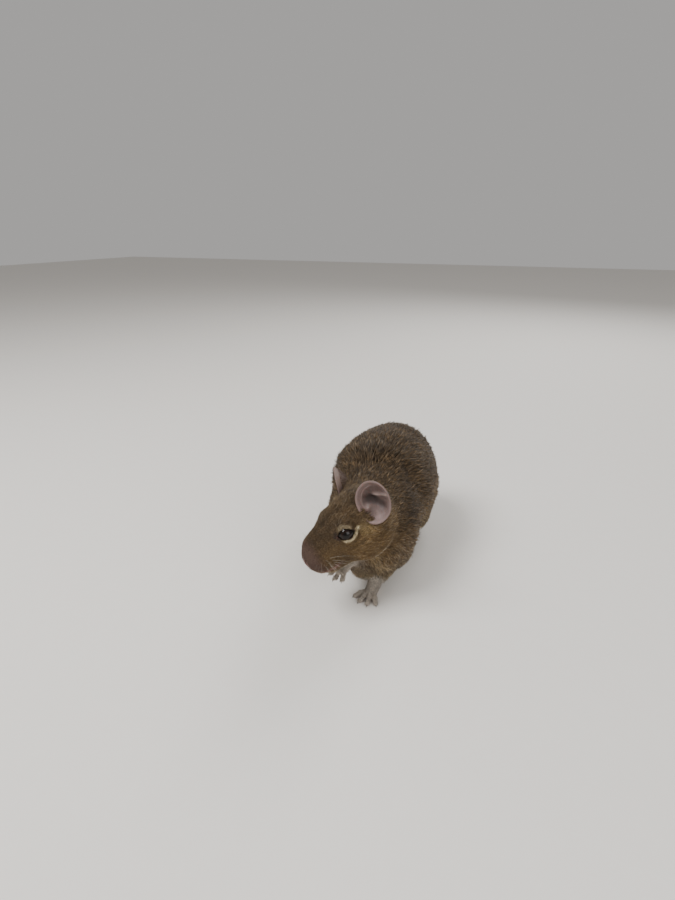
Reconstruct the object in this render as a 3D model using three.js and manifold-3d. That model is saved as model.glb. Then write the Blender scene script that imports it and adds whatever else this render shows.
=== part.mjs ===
// An adult degu standing on three feet with its right forepaw lifted and its head turned to its right and lowered.
// Units are millimetres, +Z is up, the animal faces -Y and its own left side is +X.
// The outline is one smooth field of rounded bones and muscles, coat included. Each named part is that field's
// surface, meshed at a step that suits the part, then parted from its neighbours by thin oval or flat cuts.
import * as THREE from "three";
import { mergeVertices } from "three/addons/utils/BufferGeometryUtils.js";
import Module from "manifold-3d";

const wasm = await Module();
wasm.setup();

// Driving sizes of the animal, coat included
const HEAD_LENGTH = 52;
const BACK_HEIGHT = 88;
const BODY_WIDTH = 68;
const HIND_FOOT_LENGTH = 36;
const FOREFOOT_LENGTH = 15;
const EAR_LENGTH = 27;
const EAR_WIDTH = 21;
const EYE_RADIUS = 5.2;
const TAIL_LENGTH = 104;
const GAP = 0.3;

// The pose, in degrees: the head's turn to the animal's right, its drop, and its roll to that side
const HEAD_TURN = 38;
const HEAD_DROP = 23;
const HEAD_ROLL = 11;
const LIFTED_PAW_TILT = 20;

const v = (x, y, z) => new THREE.Vector3(x, y, z);
const rad = THREE.MathUtils.degToRad;

// Distance to a cone with round ends, of radius ra at a and rb at b, less than zero inside
function roundCone(p, a, b, ra, rb) {
  const ba = b.clone().sub(a);
  const pa = p.clone().sub(a);
  const l2 = ba.lengthSq();
  const rr = ra - rb;
  const a2 = l2 - rr * rr;
  const y = pa.dot(ba);
  const z = y - l2;
  const x2 = pa.multiplyScalar(l2).addScaledVector(ba, -y).lengthSq();
  const y2 = y * y * l2;
  const z2 = z * z * l2;
  const k = Math.sign(rr) * rr * rr * x2;
  if (Math.sign(z) * a2 * z2 > k) return Math.sqrt(x2 + z2) / l2 - rb;
  if (Math.sign(y) * a2 * y2 < k) return Math.sqrt(x2 + y2) / l2 - ra;
  return (Math.sqrt((x2 * a2) / l2) + y * rr) / l2 - ra;
}

// Near distance to an ellipsoid with its axes along x, y and z
function ellipsoid(p, c, r) {
  const q = p.clone().sub(c);
  const k0 = Math.hypot(q.x / r.x, q.y / r.y, q.z / r.z);
  const k1 = Math.hypot(q.x / r.x ** 2, q.y / r.y ** 2, q.z / r.z ** 2);
  return k1 < 1e-9 ? -Math.min(r.x, r.y, r.z) : (k0 * (k0 - 1)) / k1;
}

// Two shapes joined with a fillet about k wide, and one shape hollowed by another with the same soft edge
function blend(a, b, k) {
  const h = Math.max(k - Math.abs(a - b), 0) / k;
  return Math.min(a, b) - (h * h * k) / 4;
}
const carve = (a, b, k) => -blend(-a, b, k);

// A limb or tail: points with radii, joined by round cones
function chain(p, points, radii, k) {
  let d = roundCone(p, points[0], points[1], radii[0], radii[1]);
  for (let i = 1; i + 1 < points.length; i++)
    d = blend(d, roundCone(p, points[i], points[i + 1], radii[i], radii[i + 1]), k);
  return d;
}

// Trunk: rump, loin and chest, with the hindquarters swung a little to the animal's right
const HALF_WIDTH = BODY_WIDTH / 2;
const RUMP = { centre: v(-4, 35, BACK_HEIGHT - 43), size: v(HALF_WIDTH - 3, 33, 37) };
const LOIN = { centre: v(-3, 6, BACK_HEIGHT - 37), size: v(HALF_WIDTH, 36, 37) };
const CHEST = { centre: v(2, -27, 39), size: v(27, 27, 31) };
const TRUNK_BLEND = 14;

function trunkField(p) {
  const back = blend(ellipsoid(p, RUMP.centre, RUMP.size), ellipsoid(p, LOIN.centre, LOIN.size), TRUNK_BLEND);
  return blend(back, ellipsoid(p, CHEST.centre, CHEST.size), TRUNK_BLEND);
}

// Head frame: x runs forward to the nose, y to the animal's left and z to the crown
const HEAD_ORIGIN = v(6, -47, 61.5);
const headFrame = new THREE.Matrix4()
  .makeTranslation(HEAD_ORIGIN)
  .multiply(new THREE.Matrix4().makeRotationZ(rad(-90 - HEAD_TURN)))
  .multiply(new THREE.Matrix4().makeRotationY(rad(HEAD_DROP)))
  .multiply(new THREE.Matrix4().makeRotationX(rad(HEAD_ROLL)));
const toHead = headFrame.clone().invert();
const inHead = (x, y, z) => v(x, y, z).applyMatrix4(headFrame);
const headDirection = (x, y, z) => v(x, y, z).transformDirection(headFrame);
const NOSE_TIP = HEAD_LENGTH - 4;

function headField(p) {
  const q = p.clone().applyMatrix4(toHead);
  const left = v(q.x, Math.abs(q.y), q.z);
  const skull = ellipsoid(q, v(8, 0, 0), v(18, 15.5, 16));
  const muzzle = roundCone(q, v(20, 0, 0.5), v(NOSE_TIP - 11, 0, -1.5), 14, 10.8);
  const cheek = ellipsoid(left, v(12, 8.5, -8), v(14, 10, 13));
  const whiskerPad = ellipsoid(left, v(NOSE_TIP - 9, 4.5, -6.5), v(7.5, 5.4, 6));
  const nose = ellipsoid(q, v(NOSE_TIP - 4.5, 0, -3.5), v(5, 5, 5));
  const jaw = roundCone(q, v(16, 0, -12), v(NOSE_TIP - 13, 0, -13.2), 8.5, 5.6);
  const brow = ellipsoid(left, v(22, 8.6, 5.2), v(8.5, 4.8, 5));
  const earHollow = ellipsoid(left, v(14, 18.5, 8), v(7.5, 6.5, 10));
  let d = blend(skull, muzzle, 9);
  d = blend(d, cheek, 8);
  d = blend(d, whiskerPad, 5);
  d = blend(d, nose, 4);
  d = blend(d, jaw, 6);
  d = blend(d, brow, 5);
  return carve(d, earHollow, 3);
}

// Neck, from between the shoulders to the back of the skull
const NECK = { from: v(0, -30, 50), to: inHead(6, 0, -1), radii: [24, 16.5] };
const neckField = (p) => roundCone(p, NECK.from, NECK.to, ...NECK.radii);

// Legs: each is a chain of joints from the body down to the wrist or heel
const FORELEG = {
  left: { joints: [v(13, -34, 38), v(17, -27, 22), v(9, -41, 8.5)], radii: [13, 8, 4.2] },
  right: { joints: [v(-12, -34, 38), v(0, -41, 16), v(-2, -54, 29.2)], radii: [13, 7, 4] },
};
const HIND = {
  thigh: { centre: v(18, 38, 31), size: v(14, 23, 25) },
  shank: { joints: [v(19, 26, 17), v(15, 53, 9)], radii: [10, 5.2] },
};
const SIDES = { left: 1, right: -1 };
const hip = (side, point) => v(RUMP.centre.x + side * point.x, point.y, point.z);

function hindLegField(p, side) {
  const q = v(side * (p.x - RUMP.centre.x), p.y, p.z);
  const thigh = ellipsoid(q, HIND.thigh.centre, HIND.thigh.size);
  return blend(thigh, chain(q, HIND.shank.joints, HIND.shank.radii, 5), 8);
}

// Toe of a foot in the foot's own frame: x runs forward, y to the animal's left and z up. It ends in its claw.
function makeToe(root, heading, length, radius, lift) {
  const along = v(Math.cos(rad(heading)), Math.sin(rad(heading)), 0);
  const at = (share, height) => root.clone().addScaledVector(along, share * length).setZ(height);
  return {
    points: [root, at(0.45, root.z + lift), at(0.84, radius * 0.7), at(0.98, radius * 0.8), at(1.2, 0.5)],
    radii: [radius * 1.05, radius, radius * 0.92, radius * 0.6, 0.3],
  };
}

// Forefoot: four toes and the palm, with the wrist above the frame's origin
const FORE_TOES = { headings: [-38, -12, 12, 38], reach: [0.85, 1, 0.98, 0.8], radius: 1.25 };
const forePalm = { points: [v(0, 0, 5), v(5, 0, 2.1)], radii: [3.9, 3.6] };
const foreToes = FORE_TOES.headings.map((heading, i) =>
  makeToe(v(5.5, (i - 1.5) * 1.9, 2), heading, (FOREFOOT_LENGTH - 6) * FORE_TOES.reach[i], FORE_TOES.radius, 0.6),
);

// Hind foot: a long sole with the heel at the frame's origin and five toes
const HIND_TOES = { headings: [-22, -9, 0, 9, 20], reach: [0.62, 0.93, 1, 0.95, 0.66], radius: 1.45 };
const SOLE = HIND_FOOT_LENGTH * 0.56;
const hindPalm = { points: [v(3, 0, 3.8), v(SOLE * 0.6, 0, 3.2), v(SOLE, 0, 2.7)], radii: [3.9, 3.7, 3.6] };
const hindToes = HIND_TOES.headings.map((heading, i) => {
  const root = v(SOLE - (i % 4 === 0 ? 2.5 : 0), (i - 2) * 1.7, 2.1);
  return makeToe(root, heading, (HIND_FOOT_LENGTH - SOLE - 1) * HIND_TOES.reach[i], HIND_TOES.radius, 0.7);
});

function makeFoot(place, heading, tilt, palm, toes) {
  const matrix = new THREE.Matrix4()
    .makeTranslation(place)
    .multiply(new THREE.Matrix4().makeRotationZ(rad(-90 + heading)))
    .multiply(new THREE.Matrix4().makeRotationY(rad(tilt)));
  return { matrix, inverse: matrix.clone().invert(), palm, toes };
}
const forefeet = {
  left: makeFoot(v(8.5, -44, 0), -10, 0, forePalm, foreToes),
  right: makeFoot(v(-2.5, -55, 25.2), -40, LIFTED_PAW_TILT, forePalm, foreToes),
};
const hindFeet = {
  left: makeFoot(v(8, 56, 0), 8, 0, hindPalm, hindToes),
  right: makeFoot(v(-19, 54, 0), -8, 0, hindPalm, hindToes),
};
const palmField = (p, foot) => chain(p.clone().applyMatrix4(foot.inverse), foot.palm.points, foot.palm.radii, 3);

// Tail: it leaves the rump, comes down to the floor in a slow curve and ends in a brush
const TAIL_STEPS = 14;
const TAIL_ROOT = v(RUMP.centre.x, 62, 34);
const tailPoints = [];
const tailRadii = [];
for (let i = 0; i <= TAIL_STEPS; i++) {
  const t = i / TAIL_STEPS;
  const droop = Math.exp(-3.2 * t) * (1 - 0.15 * t);
  const brush = Math.exp(-(((t - 0.84) / 0.13) ** 2));
  const radius = 5.6 * (1 - t) ** 1.2 + 2.1 + 2.6 * brush - 2 * Math.max(0, (t - 0.93) / 0.07);
  const height = Math.max(radius - GAP, 3 + (TAIL_ROOT.z - 3) * droop);
  tailRadii.push(radius);
  tailPoints.push(v(TAIL_ROOT.x - 22 * Math.sin(2.2 * t) * t, TAIL_ROOT.y + TAIL_LENGTH * 0.96 * t, height));
}

// The outline without the limbs, and the whole outline without toes and ears
function torsoField(p) {
  return blend(blend(trunkField(p), neckField(p), 12), headField(p), 7);
}

function wholeField(p) {
  let d = torsoField(p);
  for (const side of ["left", "right"]) {
    d = blend(d, chain(p, FORELEG[side].joints, FORELEG[side].radii, 5), 6);
    d = blend(d, hindLegField(p, SIDES[side]), 6);
    d = blend(d, palmField(p, forefeet[side]), 2.5);
    d = blend(d, palmField(p, hindFeet[side]), 2.5);
  }
  return blend(d, chain(p, tailPoints.slice(0, 4), tailRadii, 2), 6);
}

// A grid cell is sound if its inside corners hang together along the cell's edges and its outside corners do too
const CORNERS = [0, 1, 2, 3, 4, 5, 6, 7].map((c) => [c & 1, (c >> 1) & 1, c >> 2]);
const EDGES = [];
for (let a = 0; a < 8; a++) for (const bit of [1, 2, 4]) if (!(a & bit)) EDGES.push([a, a | bit]);
function hangsTogether(pattern, state) {
  const group = CORNERS.map((_, c) => ((pattern >> c) & 1) === state);
  const label = CORNERS.map((_, c) => c);
  for (let pass = 0; pass < 8; pass++)
    for (const [a, b] of EDGES) if (group[a] && group[b]) label[a] = label[b] = Math.min(label[a], label[b]);
  return new Set(label.filter((_, c) => group[c])).size < 2;
}
const SOUND = Array.from({ length: 256 }, (_, pattern) => hangsTogether(pattern, 1) && hangsTogether(pattern, 0));

// Surface of a field inside a box: one vertex for each crossed cell of a grid, one quad for each crossed edge.
// Cells that would pinch the surface are filled first, at their outside corner nearest to it.
function fieldSurface(field, low, high, step, level = 0) {
  const [nx, ny, nz] = ["x", "y", "z"].map((axis) => Math.ceil((high[axis] - low[axis]) / step) + 1);
  const at = (i, j, k) => i + nx * (j + ny * k);
  const values = new Float32Array(nx * ny * nz).fill(step);
  const p = v(0, 0, 0);
  for (let k = 1; k + 1 < nz; k++)
    for (let j = 1; j + 1 < ny; j++)
      for (let i = 1; i + 1 < nx; i++)
        values[at(i, j, k)] = field(p.set(low.x + i * step, low.y + j * step, low.z + k * step)) - level;
  const offsets = CORNERS.map(([a, b, c]) => at(a, b, c));
  const patternAt = (cell) => offsets.reduce((bits, o, c) => bits | ((values[cell + o] < 0) << c), 0);
  const cells = [];
  for (let k = 0; k + 1 < nz; k++)
    for (let j = 0; j + 1 < ny; j++) for (let i = 0; i + 1 < nx; i++) cells.push(at(i, j, k));
  for (let pinched = true; pinched; ) {
    pinched = false;
    for (const cell of cells) {
      if (SOUND[patternAt(cell)]) continue;
      const outside = offsets.map((o) => cell + o).filter((c) => values[c] >= 0);
      values[outside.reduce((best, c) => (values[c] < values[best] ? c : best))] = -0.05 * step;
      pinched = true;
    }
  }
  const vertexOf = new Map();
  const positions = [];
  for (const cell of cells) {
    const pattern = patternAt(cell);
    if (pattern === 0 || pattern === 255) continue;
    const sum = [0, 0, 0];
    let hits = 0;
    for (const [a, b] of EDGES) {
      if (((pattern >> a) & 1) === ((pattern >> b) & 1)) continue;
      const t = values[cell + offsets[a]] / (values[cell + offsets[a]] - values[cell + offsets[b]]);
      for (let n = 0; n < 3; n++) sum[n] += CORNERS[a][n] + t * (CORNERS[b][n] - CORNERS[a][n]);
      hits++;
    }
    const place = [cell % nx, Math.floor(cell / nx) % ny, Math.floor(cell / (nx * ny))];
    vertexOf.set(cell, positions.length / 3);
    place.forEach((n, axis) => positions.push(low.getComponent(axis) + (n + sum[axis] / hits) * step));
  }
  const index = [];
  const steps = [at(1, 0, 0), at(0, 1, 0), at(0, 0, 1)];
  for (const cell of cells)
    for (let axis = 0; axis < 3; axis++) {
      const inside = values[cell] < 0;
      if (inside === values[cell + steps[axis]] < 0) continue;
      const [u, w] = [steps[(axis + 1) % 3], steps[(axis + 2) % 3]];
      const ring = [cell - u - w, cell - w, cell, cell - u].map((c) => vertexOf.get(c));
      if (!inside) ring.reverse();
      index.push(ring[0], ring[1], ring[2], ring[0], ring[2], ring[3]);
    }
  return makeGeometry(positions, index);
}

function makeGeometry(positions, index) {
  return new THREE.BufferGeometry()
    .setAttribute("position", new THREE.Float32BufferAttribute(positions, 3))
    .setIndex(index);
}

// Round bar through points with its own radius at each, closed at both ends by low cones
function taperedBar(points, radii, segments, rings = points.length) {
  const curve = new THREE.CatmullRomCurve3(points);
  const frames = curve.computeFrenetFrames(rings - 1);
  const positions = [];
  const index = [];
  for (let i = 0; i < rings; i++) {
    const t = i / (rings - 1);
    const share = t * (points.length - 1);
    const from = Math.min(Math.floor(share), points.length - 2);
    const radius = THREE.MathUtils.lerp(radii[from], radii[from + 1], share - from);
    for (let s = 0; s < segments; s++) {
      const angle = (2 * Math.PI * s) / segments;
      const spot = curve
        .getPoint(t)
        .addScaledVector(frames.normals[i], Math.cos(angle) * radius)
        .addScaledVector(frames.binormals[i], Math.sin(angle) * radius);
      positions.push(...spot.toArray());
    }
  }
  const ends = [rings * segments, rings * segments + 1];
  [0, rings - 1].forEach((i, n) => {
    const reach = (n ? 0.6 : -0.6) * radii[n ? radii.length - 1 : 0];
    positions.push(...curve.getPoint(n).addScaledVector(frames.tangents[i], reach).toArray());
  });
  for (let s = 0; s < segments; s++) {
    const next = (s + 1) % segments;
    for (let i = 0; i + 1 < rings; i++) {
      const [a, b, c, d] = [i * segments + s, i * segments + next, (i + 1) * segments + next, (i + 1) * segments + s];
      index.push(a, b, c, a, c, d);
    }
    index.push(ends[0], next, s, ends[1], (rings - 1) * segments + s, (rings - 1) * segments + next);
  }
  return makeGeometry(positions, index);
}

// Ear: a thin cup, with one pose for each side. Its frame has x across, y from notch to tip, z out of the hollow.
const EAR = {
  left: { base: v(9.2, 16.8, 2.8), axis: v(-0.38, 0.25, 0.87), facing: v(0.75, 0.62, 0.1) },
  right: { base: v(9, -19.2, 3), axis: v(-0.4, -0.6, 0.64), facing: v(0.85, -0.35, 0.3) },
  cup: 5.5,
  thickness: 1.2,
  rings: 4,
  segments: 18,
};

function earMatrix(pose) {
  const up = pose.axis.clone().normalize();
  const out = pose.facing.clone().addScaledVector(up, -pose.facing.dot(up)).normalize();
  const across = new THREE.Vector3().crossVectors(up, out);
  return headFrame.clone().multiply(new THREE.Matrix4().makeBasis(across, up, out).setPosition(pose.base));
}

// A point of the ear at a share of the way from its middle to its rim, on its hollow side or its back
function earPoint(share, angle, back) {
  const y = Math.sin(angle) * share;
  const narrow = 1 - 0.18 * Math.max(0, -Math.sin(angle)) ** 2;
  const x = Math.cos(angle) * share * narrow;
  const depth = -EAR.cup * (1 - share ** 2) + 1.2 * Math.cos(angle) * share ** 3;
  const wall = back ? -EAR.thickness * (1 - 0.35 * share) : 0;
  return v((x * EAR_WIDTH) / 2, (EAR_LENGTH / 2) * (1 + y), depth + wall);
}

function earGeometry() {
  const { rings, segments } = EAR;
  const points = [earPoint(0, 0, false), earPoint(0, 0, true)];
  for (const back of [false, true])
    for (let r = 1; r <= rings; r++)
      for (let s = 0; s < segments; s++) points.push(earPoint(r / rings, (2 * Math.PI * s) / segments, back));
  const spot = (side, r, s) => 2 + (side * rings + r - 1) * segments + (s % segments);
  const index = [];
  const face = (flip, a, b, c) => (flip ? index.push(a, c, b) : index.push(a, b, c));
  for (let s = 0; s < segments; s++) {
    for (const side of [0, 1]) {
      face(side, side, spot(side, 1, s), spot(side, 1, s + 1));
      for (let r = 1; r < rings; r++) {
        face(side, spot(side, r, s), spot(side, r + 1, s), spot(side, r + 1, s + 1));
        face(side, spot(side, r, s), spot(side, r + 1, s + 1), spot(side, r, s + 1));
      }
    }
    face(0, spot(0, rings, s), spot(1, rings, s), spot(1, rings, s + 1));
    face(0, spot(0, rings, s), spot(1, rings, s + 1), spot(0, rings, s + 1));
  }
  return makeGeometry(points.flatMap((p) => p.toArray()), index);
}

// Between three.js geometry and solids that can be joined and cut
function toSolid(geometry, matrix) {
  const plain = geometry.clone();
  plain.deleteAttribute("normal");
  plain.deleteAttribute("uv");
  if (matrix) plain.applyMatrix4(matrix);
  const merged = mergeVertices(plain, 1e-4);
  const mesh = new wasm.Mesh({
    numProp: 3,
    vertProperties: merged.attributes.position.array,
    triVerts: new Uint32Array(merged.index.array),
  });
  return new wasm.Manifold(mesh);
}

function toGeometry(solid) {
  const mesh = solid.getMesh();
  const geometry = new THREE.BufferGeometry()
    .setAttribute("position", new THREE.BufferAttribute(mesh.vertProperties, 3))
    .setIndex(new THREE.BufferAttribute(mesh.triVerts, 1));
  geometry.computeVertexNormals();
  return geometry;
}

// Cuts, each with the region it takes and the same region grown by the gap, which its neighbours lose
const FAR = 500;
function flatCut(point, direction) {
  const normal = direction.clone().normalize();
  const turn = new THREE.Quaternion().setFromUnitVectors(v(0, 0, 1), normal);
  const slab = (shift) =>
    toSolid(
      new THREE.BoxGeometry(FAR, FAR, FAR),
      new THREE.Matrix4().compose(point.clone().addScaledVector(normal, FAR / 2 - shift), turn, v(1, 1, 1)),
    );
  return { takes: slab(0), clears: slab(GAP) };
}

function ovalCut(centre, size, frame = new THREE.Matrix4(), grow = 0) {
  const ball = (extra) => {
    const scale = size.clone().addScalar(extra);
    const place = new THREE.Matrix4().compose(centre, new THREE.Quaternion(), scale);
    return toSolid(new THREE.SphereGeometry(1, 12, 7), frame.clone().multiply(place));
  };
  return { takes: ball(grow), clears: ball(grow + GAP) };
}

// Materials by what they show
const coat = (color) => new THREE.MeshStandardMaterial({ color, roughness: 0.92, metalness: 0 });
const LOOKS = {
  coat: coat(0x5d4c39),
  throat: coat(0xa8977c),
  foot: coat(0x8f8378),
  brush: coat(0x2c2622),
  nose: new THREE.MeshStandardMaterial({ color: 0x6b5450, roughness: 0.6, metalness: 0 }),
  ear: new THREE.MeshStandardMaterial({ color: 0x85706c, roughness: 0.75, metalness: 0 }),
  eye: new THREE.MeshStandardMaterial({ color: 0x120d0b, roughness: 0.08, metalness: 0 }),
};

// The model: a part is what its cut takes from its source, less all that was cleared before it. Where that leaves
// loose shavings as well, the largest body is the part.
const model = new THREE.Group();
const floor = flatCut(v(0, 0, 0), v(0, 0, 1)).takes;
const cleared = [];
function addPart(name, look, source, cut, less = cleared) {
  let solid = source.intersect(floor);
  if (cut) solid = solid.intersect(cut.takes);
  for (const space of less) solid = solid.subtract(space);
  if (cut) cleared.push(cut.clears);
  solid = solid.decompose().reduce((best, piece) => (piece.volume() > best.volume() ? piece : best));
  const mesh = new THREE.Mesh(toGeometry(solid), look);
  mesh.name = name;
  model.add(mesh);
  return solid;
}

// Fine pieces of the whole outline around a set of points, and the coarse trunk
function around(points, reach, step) {
  const box = new THREE.Box3().setFromPoints(points).expandByScalar(reach);
  return toSolid(fieldSurface(wholeField, box.min, box.max, step));
}
const BODY_STEP = 9.6;
const HEAD_STEP = 5;
const LIMB_STEP = 3.2;
const trunk = toSolid(fieldSurface(wholeField, v(-50, -70, -9), v(50, 92, 100), BODY_STEP));
const front = (level) => toSolid(fieldSurface(torsoField, v(-46, -104, 4), v(48, 2, 102), HEAD_STEP, level));

// Feet, then the lower legs that they end
for (const [side, foot] of Object.entries(forefeet)) {
  const cut = ovalCut(v(3.4, 0, 3.4), v(7.6, 6.2, 5.4), foot.matrix);
  const wrist = v(2, 0, 3).applyMatrix4(foot.matrix);
  let paw = around([wrist], 11, LIMB_STEP).intersect(cut.takes);
  for (const toe of foot.toes) paw = paw.add(toSolid(taperedBar(toe.points, toe.radii, 6), foot.matrix));
  addPart(`forefoot_${side}`, LOOKS.foot, paw);
  cleared.push(cut.clears, ovalCut(v(10, 0, 2), v(10.5, 10, 5.4), foot.matrix).clears);
}
for (const [side, leg] of Object.entries(FORELEG)) {
  const [, elbow, wrist] = leg.joints;
  const middle = elbow.clone().lerp(wrist, 0.62);
  const cut = ovalCut(middle, v(9.5, 12.5, 10));
  addPart(`forearm_${side}`, LOOKS.coat, around([elbow, wrist], 12, LIMB_STEP), cut);
}
for (const [side, foot] of Object.entries(hindFeet)) {
  const cut = ovalCut(v(SOLE * 0.55, 0, 1.5), v(SOLE * 0.75, 7.5, 6), foot.matrix);
  const heel = v(0, 0, 3).applyMatrix4(foot.matrix);
  const ball = v(SOLE, 0, 3).applyMatrix4(foot.matrix);
  let paw = around([heel, ball], 9, LIMB_STEP).intersect(cut.takes);
  for (const toe of foot.toes) paw = paw.add(toSolid(taperedBar(toe.points, toe.radii, 6), foot.matrix));
  addPart(`hind_foot_${side}`, LOOKS.foot, paw, undefined, []);
  cleared.push(cut.clears, ovalCut(v(SOLE + 6, 0, 2), v(12, 10, 4.5), foot.matrix).clears);
}
for (const [side, sign] of Object.entries(SIDES)) {
  const [knee, ankle] = HIND.shank.joints.map((joint) => hip(sign, joint));
  const cut = ovalCut(knee.clone().lerp(ankle, 0.6).setZ(8), v(12, 17, 10));
  addPart(`shank_${side}`, LOOKS.coat, around([knee, ankle], 14, LIMB_STEP * 1.4), cut);
}

// Tail in three lengths
const tail = toSolid(taperedBar(tailPoints, tailRadii, 10));
const tailCut = (i) => flatCut(tailPoints[i], tailPoints[i + 1].clone().sub(tailPoints[i - 1]));
addPart("tail_brush", LOOKS.brush, tail, tailCut(9));
addPart("tail_middle", LOOKS.coat, tail, tailCut(4));
addPart("tail_base", LOOKS.coat, tail, tailCut(1));

// Trunk, with the thighs and upper arms taken from its sides
for (const [side, sign] of Object.entries(SIDES)) {
  addPart(`thigh_${side}`, LOOKS.coat, trunk, ovalCut(hip(sign, v(26, 38, 28)), v(17, 24, 27)));
  addPart(`upper_arm_${side}`, LOOKS.coat, trunk, ovalCut(v(2 + sign * 22, -31, 30), v(14, 15, 20)));
}
const neckRoot = flatCut(v(1, -40, 56), v(0.2, -0.75, 0.6));
const behindNeck = trunk.subtract(neckRoot.clears);
addPart("rump", LOOKS.coat, behindNeck, flatCut(v(0, 26, 0), v(0, 1, 0)));
addPart("loin", LOOKS.coat, behindNeck, flatCut(v(0, -12, 0), v(0, 1, 0)));
addPart("chest", LOOKS.throat, behindNeck);

// Head, parted from the neck behind the ears, with the lower jaw, the nose and the eyes let into it
const ahead = front(0).intersect(neckRoot.takes);
const skullBase = flatCut(inHead(-3, 0, 0), headDirection(1, 0, 0));
const mouth = flatCut(inHead(NOSE_TIP - 16, 0, -10.5), headDirection(0.1, 0, -1));
const jawBack = flatCut(inHead(20, 0, -12), headDirection(1, 0, -0.4));
const noseCut = ovalCut(v(NOSE_TIP - 0.5, 0, -2.2), v(3.4, 4, 3.2), headFrame);
const eyes = Object.entries(SIDES).map(([side, sign]) => {
  const cut = ovalCut(v(22.8, sign * 11.2, 4.6), v(1, 1, 1), headFrame, EYE_RADIUS - 1);
  return { side, cut };
});
const head = ahead.intersect(skullBase.takes);
const jawSpace = mouth.clears.intersect(jawBack.clears);
addPart("neck", LOOKS.coat, ahead.subtract(skullBase.clears), undefined, []);
addPart("lower_jaw", LOOKS.throat, head.intersect(mouth.takes).intersect(jawBack.takes), undefined, []);
addPart("nose_pad", LOOKS.nose, head.intersect(noseCut.takes), undefined, []);
addPart("head", LOOKS.coat, head, undefined, [jawSpace, noseCut.clears, ...eyes.map(({ cut }) => cut.clears)]);
for (const { side, cut } of eyes) addPart(`eye_${side}`, LOOKS.eye, cut.takes, undefined, []);
const skinBelow = front(GAP * 1.5);
for (const side of ["left", "right"])
  addPart(`ear_${side}`, LOOKS.ear, toSolid(earGeometry(), earMatrix(EAR[side])), undefined, [skinBelow]);

// The origin is on the floor under the middle of the model
const bounds = new THREE.Box3().setFromObject(model);
const middle = bounds.getCenter(v(0, 0, 0));
model.position.set(-middle.x, -middle.y, 0);

export default model;
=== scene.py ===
# %% [markdown]
# # A degu as a life-size model
# A degu is a South American rodent about the size of a small rat, with a tufted tail. The
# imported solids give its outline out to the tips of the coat. This file gives it one skin,
# a coat of solid tufts, thin ears, wet eyes, claws and whiskers, in that order.

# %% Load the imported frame
import math
import time
import bmesh
import bpy
import numpy as np
from mathutils import Matrix, Vector


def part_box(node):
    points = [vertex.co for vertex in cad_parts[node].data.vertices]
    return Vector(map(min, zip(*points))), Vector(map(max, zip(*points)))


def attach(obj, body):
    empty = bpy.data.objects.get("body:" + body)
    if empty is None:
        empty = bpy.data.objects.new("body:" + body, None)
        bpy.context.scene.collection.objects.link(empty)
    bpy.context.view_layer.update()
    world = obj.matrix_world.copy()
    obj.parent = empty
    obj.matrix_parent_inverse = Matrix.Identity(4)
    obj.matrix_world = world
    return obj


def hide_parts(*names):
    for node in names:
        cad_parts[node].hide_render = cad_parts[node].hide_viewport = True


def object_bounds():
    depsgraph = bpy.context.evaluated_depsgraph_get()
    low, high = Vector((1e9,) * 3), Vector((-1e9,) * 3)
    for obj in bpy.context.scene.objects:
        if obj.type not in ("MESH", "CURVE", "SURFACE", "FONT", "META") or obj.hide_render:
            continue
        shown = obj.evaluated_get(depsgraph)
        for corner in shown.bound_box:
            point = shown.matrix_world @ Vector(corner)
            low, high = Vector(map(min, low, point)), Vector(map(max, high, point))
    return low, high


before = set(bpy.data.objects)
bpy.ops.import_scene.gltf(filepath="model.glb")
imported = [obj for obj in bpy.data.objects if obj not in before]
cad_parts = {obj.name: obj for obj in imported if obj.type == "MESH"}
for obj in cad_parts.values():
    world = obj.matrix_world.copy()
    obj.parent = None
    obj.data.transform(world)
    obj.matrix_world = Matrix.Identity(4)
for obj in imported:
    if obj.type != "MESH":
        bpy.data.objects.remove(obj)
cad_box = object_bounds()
started = time.time()
def say(*words):
    print(*words, round(time.time() - started, 1), "s")

# %% [markdown]
# Lengths are in millimetres and become metres as each mesh is made. The body is described in
# the animal's own place, and the head in its own axes: x towards the nose, y to the animal's
# left, z to the crown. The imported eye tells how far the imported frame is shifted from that.

# %% Place the animal and its head
HEAD_TURN = 38
HEAD_DROP = 23
HEAD_ROLL = 11
def turn(axis, degrees):
    return np.array(Matrix.Rotation(math.radians(degrees), 3, axis))
HEAD_AXES = turn("Z", -90 - HEAD_TURN) @ turn("Y", HEAD_DROP) @ turn("X", HEAD_ROLL)
HEAD_ORIGIN = np.array([6.0, -47.0, 61.5])
EYE_PLACE = np.array([22.8, 11.2, 4.6])
EYE_RADIUS = 5.2
def in_head(point):
    return HEAD_ORIGIN + np.asarray(point, float) @ HEAD_AXES.T
def to_head(points):
    return (points - HEAD_ORIGIN) @ HEAD_AXES
eye_corners = np.array([list(c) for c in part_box("eye_left")]) * 1000
SHIFT = eye_corners.mean(axis=0) - in_head(EYE_PLACE)
print("shift of the packed frame, mm:", SHIFT.round(2))

# %% [markdown]
# The camera stands in front of the animal and above it, turned 22 degrees and pitched 24
# degrees down. A 20 mm lens on a 36 mm frame gives the close, slightly wide view.

# %% Set up the camera
CAMERA_PLACE = np.array([82.1, -287.8, 211.0])
CAMERA_TURN = 22
CAMERA_DROP = 24
def add_object(name, data):
    thing = bpy.data.objects.new(name, data)
    bpy.context.scene.collection.objects.link(thing)
    return thing
camera = add_object("camera", bpy.data.cameras.new("camera"))
camera.data.sensor_fit = "VERTICAL"
camera.data.sensor_height = 36
camera.data.lens = 20
camera.data.clip_start = 0.01
camera.location = Vector((CAMERA_PLACE + SHIFT) / 1000)
camera.rotation_euler = (math.radians(90 - CAMERA_DROP), 0, math.radians(CAMERA_TURN))
bpy.context.scene.camera = camera

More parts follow.
